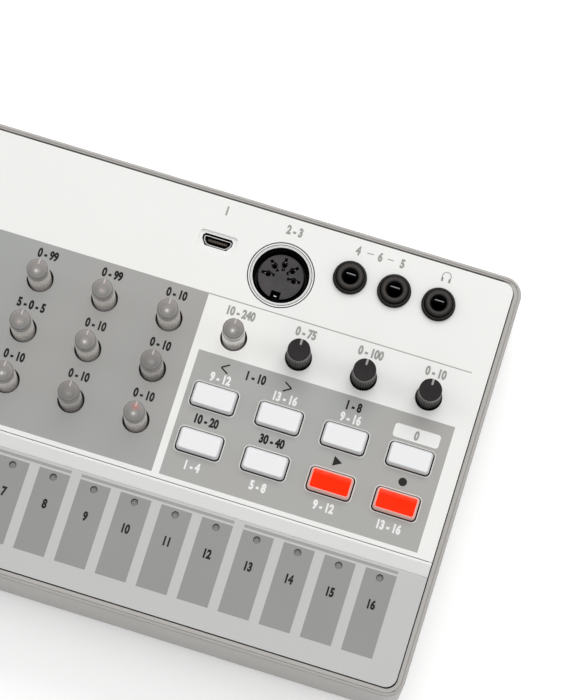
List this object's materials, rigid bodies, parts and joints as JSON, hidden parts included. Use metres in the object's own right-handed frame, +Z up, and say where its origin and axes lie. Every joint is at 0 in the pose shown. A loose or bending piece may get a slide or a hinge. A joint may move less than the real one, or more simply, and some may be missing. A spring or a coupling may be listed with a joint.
{
  "type": "drum machine",
  "caption": "Compact desktop drum machine with white top, clear and black knobs, lit push buttons, touch-key strip and upright sockets on a grey battery case.",
  "frame": {"origin": "centre of the footprint on the surface the rubber feet stand on", "axes": "+X along the keys to the right, +Y to the rear edge with the sockets, +Z up"},
  "size_m": [0.193, 0.115, 0.047],
  "materials": {
    "case_grey": "satin moulded",
    "white_plastic": "smooth satin, printed",
    "key_grey": "smooth printed sheet",
    "black_rubber": "matte",
    "screw_steel": "plated",
    "circuit_board": "solder resist",
    "ribbon": "flat cable",
    "pot_body": "moulded",
    "black_plastic": "moulded",
    "lamp_red": "clear tinted",
    "display_tint": "tinted window",
    "bright_metal": "bright plated",
    "contact_brass": "plated",
    "cell_wrap": "plain sleeve",
    "clear_knob": "translucent moulded",
    "black_knob": "matte moulded",
    "white_button": "translucent white",
    "red_button": "translucent, lit red"
  },
  "bodies": {
    "case": {"lower_case": "case_grey", "upper_case": "white_plastic", "top_panel": "white_plastic", "key_sheet": "key_grey", "rubber_feet": "black_rubber", "case_screws": "screw_steel", "main_board": "circuit_board", "board_screws": "screw_steel", "touch_board": "circuit_board", "ribbon_cable": "ribbon", "jack_board": "circuit_board", "potentiometers": "pot_body", "tact_switches": "black_plastic", "indicator_lamps": "lamp_red", "board_chips": "black_plastic", "display_lens": "display_tint", "display_module": "black_plastic", "data_socket_shell": "bright_metal", "data_socket_tongue": "black_plastic", "midi_socket_housing": "black_plastic", "midi_socket_insert": "black_plastic", "midi_socket_shield": "bright_metal", "sync_in_socket": "black_plastic", "sync_out_socket": "black_plastic", "headphone_socket": "black_plastic", "socket_contacts": "contact_brass", "power_inlet": "black_plastic", "power_switch": "black_plastic", "speaker_frame": "bright_metal", "speaker_cone": "black_plastic", "battery_cells": "cell_wrap", "battery_contacts": "bright_metal"},
    "knob_start": {"knob_start": "clear_knob"},
    "knob_length": {"knob_length": "clear_knob"},
    "knob_high_cut": {"knob_high_cut": "clear_knob"},
    "knob_level": {"knob_level": "clear_knob"},
    "knob_pan": {"knob_pan": "clear_knob"},
    "knob_amp_attack": {"knob_amp_attack": "clear_knob"},
    "knob_amp_decay": {"knob_amp_decay": "clear_knob"},
    "knob_speed": {"knob_speed": "clear_knob"},
    "knob_pitch_amount": {"knob_pitch_amount": "clear_knob"},
    "knob_pitch_attack": {"knob_pitch_attack": "clear_knob"},
    "knob_pitch_decay": {"knob_pitch_decay": "clear_knob"},
    "knob_tempo": {"knob_tempo": "clear_knob"},
    "knob_swing": {"knob_swing": "black_knob"},
    "knob_reverb": {"knob_reverb": "black_knob"},
    "knob_volume": {"knob_volume": "black_knob"},
    "knob_select": {"knob_select": "black_knob"},
    "knob_bass": {"knob_bass": "black_knob"},
    "knob_treble": {"knob_treble": "black_knob"},
    "button_1": {"button_1": "white_button"},
    "button_2": {"button_2": "white_button"},
    "button_3": {"button_3": "white_button"},
    "button_4": {"button_4": "white_button"},
    "button_5": {"button_5": "white_button"},
    "button_6": {"button_6": "white_button"},
    "button_play": {"button_play": "red_button"},
    "button_record": {"button_record": "red_button"},
    "power_button": {"power_button": "black_plastic"},
    "battery_door": {"battery_door": "case_grey"}
  },
  "joints": [
    {"name": "start_turn", "type": "hinge", "parent": "case", "child": "knob_start", "pos_m": [-0.02495, 0.0199, 0.035], "axis": [0, 0, 1], "range_deg": [-150, 150]},
    {"name": "length_turn", "type": "hinge", "parent": "case", "child": "knob_length", "pos_m": [-0.0073, 0.0199, 0.035], "axis": [0, 0, 1], "range_deg": [-150, 150]},
    {"name": "high_cut_turn", "type": "hinge", "parent": "case", "child": "knob_high_cut", "pos_m": [0.01035, 0.0199, 0.035], "axis": [0, 0, 1], "range_deg": [-150, 150]},
    {"name": "level_turn", "type": "hinge", "parent": "case", "child": "knob_level", "pos_m": [-0.0426, 0.0058, 0.035], "axis": [0, 0, 1], "range_deg": [-150, 150]},
    {"name": "pan_turn", "type": "hinge", "parent": "case", "child": "knob_pan", "pos_m": [-0.02495, 0.0058, 0.035], "axis": [0, 0, 1], "range_deg": [-150, 150]},
    {"name": "amp_attack_turn", "type": "hinge", "parent": "case", "child": "knob_amp_attack", "pos_m": [-0.0073, 0.0058, 0.035], "axis": [0, 0, 1], "range_deg": [-150, 150]},
    {"name": "amp_decay_turn", "type": "hinge", "parent": "case", "child": "knob_amp_decay", "pos_m": [0.01035, 0.0058, 0.035], "axis": [0, 0, 1], "range_deg": [-150, 150]},
    {"name": "speed_turn", "type": "hinge", "parent": "case", "child": "knob_speed", "pos_m": [-0.0426, -0.0083, 0.035], "axis": [0, 0, 1], "range_deg": [-150, 150]},
    {"name": "pitch_amount_turn", "type": "hinge", "parent": "case", "child": "knob_pitch_amount", "pos_m": [-0.02495, -0.0083, 0.035], "axis": [0, 0, 1], "range_deg": [-150, 150]},
    {"name": "pitch_attack_turn", "type": "hinge", "parent": "case", "child": "knob_pitch_attack", "pos_m": [-0.0073, -0.0083, 0.035], "axis": [0, 0, 1], "range_deg": [-150, 150]},
    {"name": "pitch_decay_turn", "type": "hinge", "parent": "case", "child": "knob_pitch_decay", "pos_m": [0.01035, -0.0083, 0.035], "axis": [0, 0, 1], "range_deg": [-150, 150]},
    {"name": "tempo_turn", "type": "hinge", "parent": "case", "child": "knob_tempo", "pos_m": [0.028, 0.0199, 0.035], "axis": [0, 0, 1], "range_deg": [-150, 150]},
    {"name": "swing_turn", "type": "hinge", "parent": "case", "child": "knob_swing", "pos_m": [0.04565, 0.0199, 0.035], "axis": [0, 0, 1], "range_deg": [-150, 150]},
    {"name": "reverb_turn", "type": "hinge", "parent": "case", "child": "knob_reverb", "pos_m": [0.0633, 0.0199, 0.035], "axis": [0, 0, 1], "range_deg": [-150, 150]},
    {"name": "volume_turn", "type": "hinge", "parent": "case", "child": "knob_volume", "pos_m": [0.08095, 0.0199, 0.035], "axis": [0, 0, 1], "range_deg": [-150, 150]},
    {"name": "select_turn", "type": "hinge", "parent": "case", "child": "knob_select", "pos_m": [-0.0779, 0.0058, 0.035], "axis": [0, 0, 1], "range_deg": [-150, 150]},
    {"name": "bass_turn", "type": "hinge", "parent": "case", "child": "knob_bass", "pos_m": [-0.0779, -0.0083, 0.035], "axis": [0, 0, 1], "range_deg": [-150, 150]},
    {"name": "treble_turn", "type": "hinge", "parent": "case", "child": "knob_treble", "pos_m": [-0.06025, -0.0083, 0.035], "axis": [0, 0, 1], "range_deg": [-150, 150]},
    {"name": "button_1_press", "type": "slide", "parent": "case", "child": "button_1", "axis": [0, 0, 1], "range_m": [-0.0005, 0], "stiffness_N_per_m": 1500},
    {"name": "button_2_press", "type": "slide", "parent": "case", "child": "button_2", "axis": [0, 0, 1], "range_m": [-0.0005, 0], "stiffness_N_per_m": 1500},
    {"name": "button_3_press", "type": "slide", "parent": "case", "child": "button_3", "axis": [0, 0, 1], "range_m": [-0.0005, 0], "stiffness_N_per_m": 1500},
    {"name": "button_4_press", "type": "slide", "parent": "case", "child": "button_4", "axis": [0, 0, 1], "range_m": [-0.0005, 0], "stiffness_N_per_m": 1500},
    {"name": "button_5_press", "type": "slide", "parent": "case", "child": "button_5", "axis": [0, 0, 1], "range_m": [-0.0005, 0], "stiffness_N_per_m": 1500},
    {"name": "button_6_press", "type": "slide", "parent": "case", "child": "button_6", "axis": [0, 0, 1], "range_m": [-0.0005, 0], "stiffness_N_per_m": 1500},
    {"name": "play_press", "type": "slide", "parent": "case", "child": "button_play", "axis": [0, 0, 1], "range_m": [-0.0005, 0], "stiffness_N_per_m": 1500},
    {"name": "record_press", "type": "slide", "parent": "case", "child": "button_record", "axis": [0, 0, 1], "range_m": [-0.0005, 0], "stiffness_N_per_m": 1500},
    {"name": "power_press", "type": "slide", "parent": "case", "child": "power_button", "axis": [0, 1, 0], "range_m": [-0.0015, 0], "stiffness_N_per_m": 600},
    {"name": "battery_door_slide", "type": "slide", "parent": "case", "child": "battery_door", "axis": [0, -1, 0], "range_m": [0, 0.012]}
  ]
}
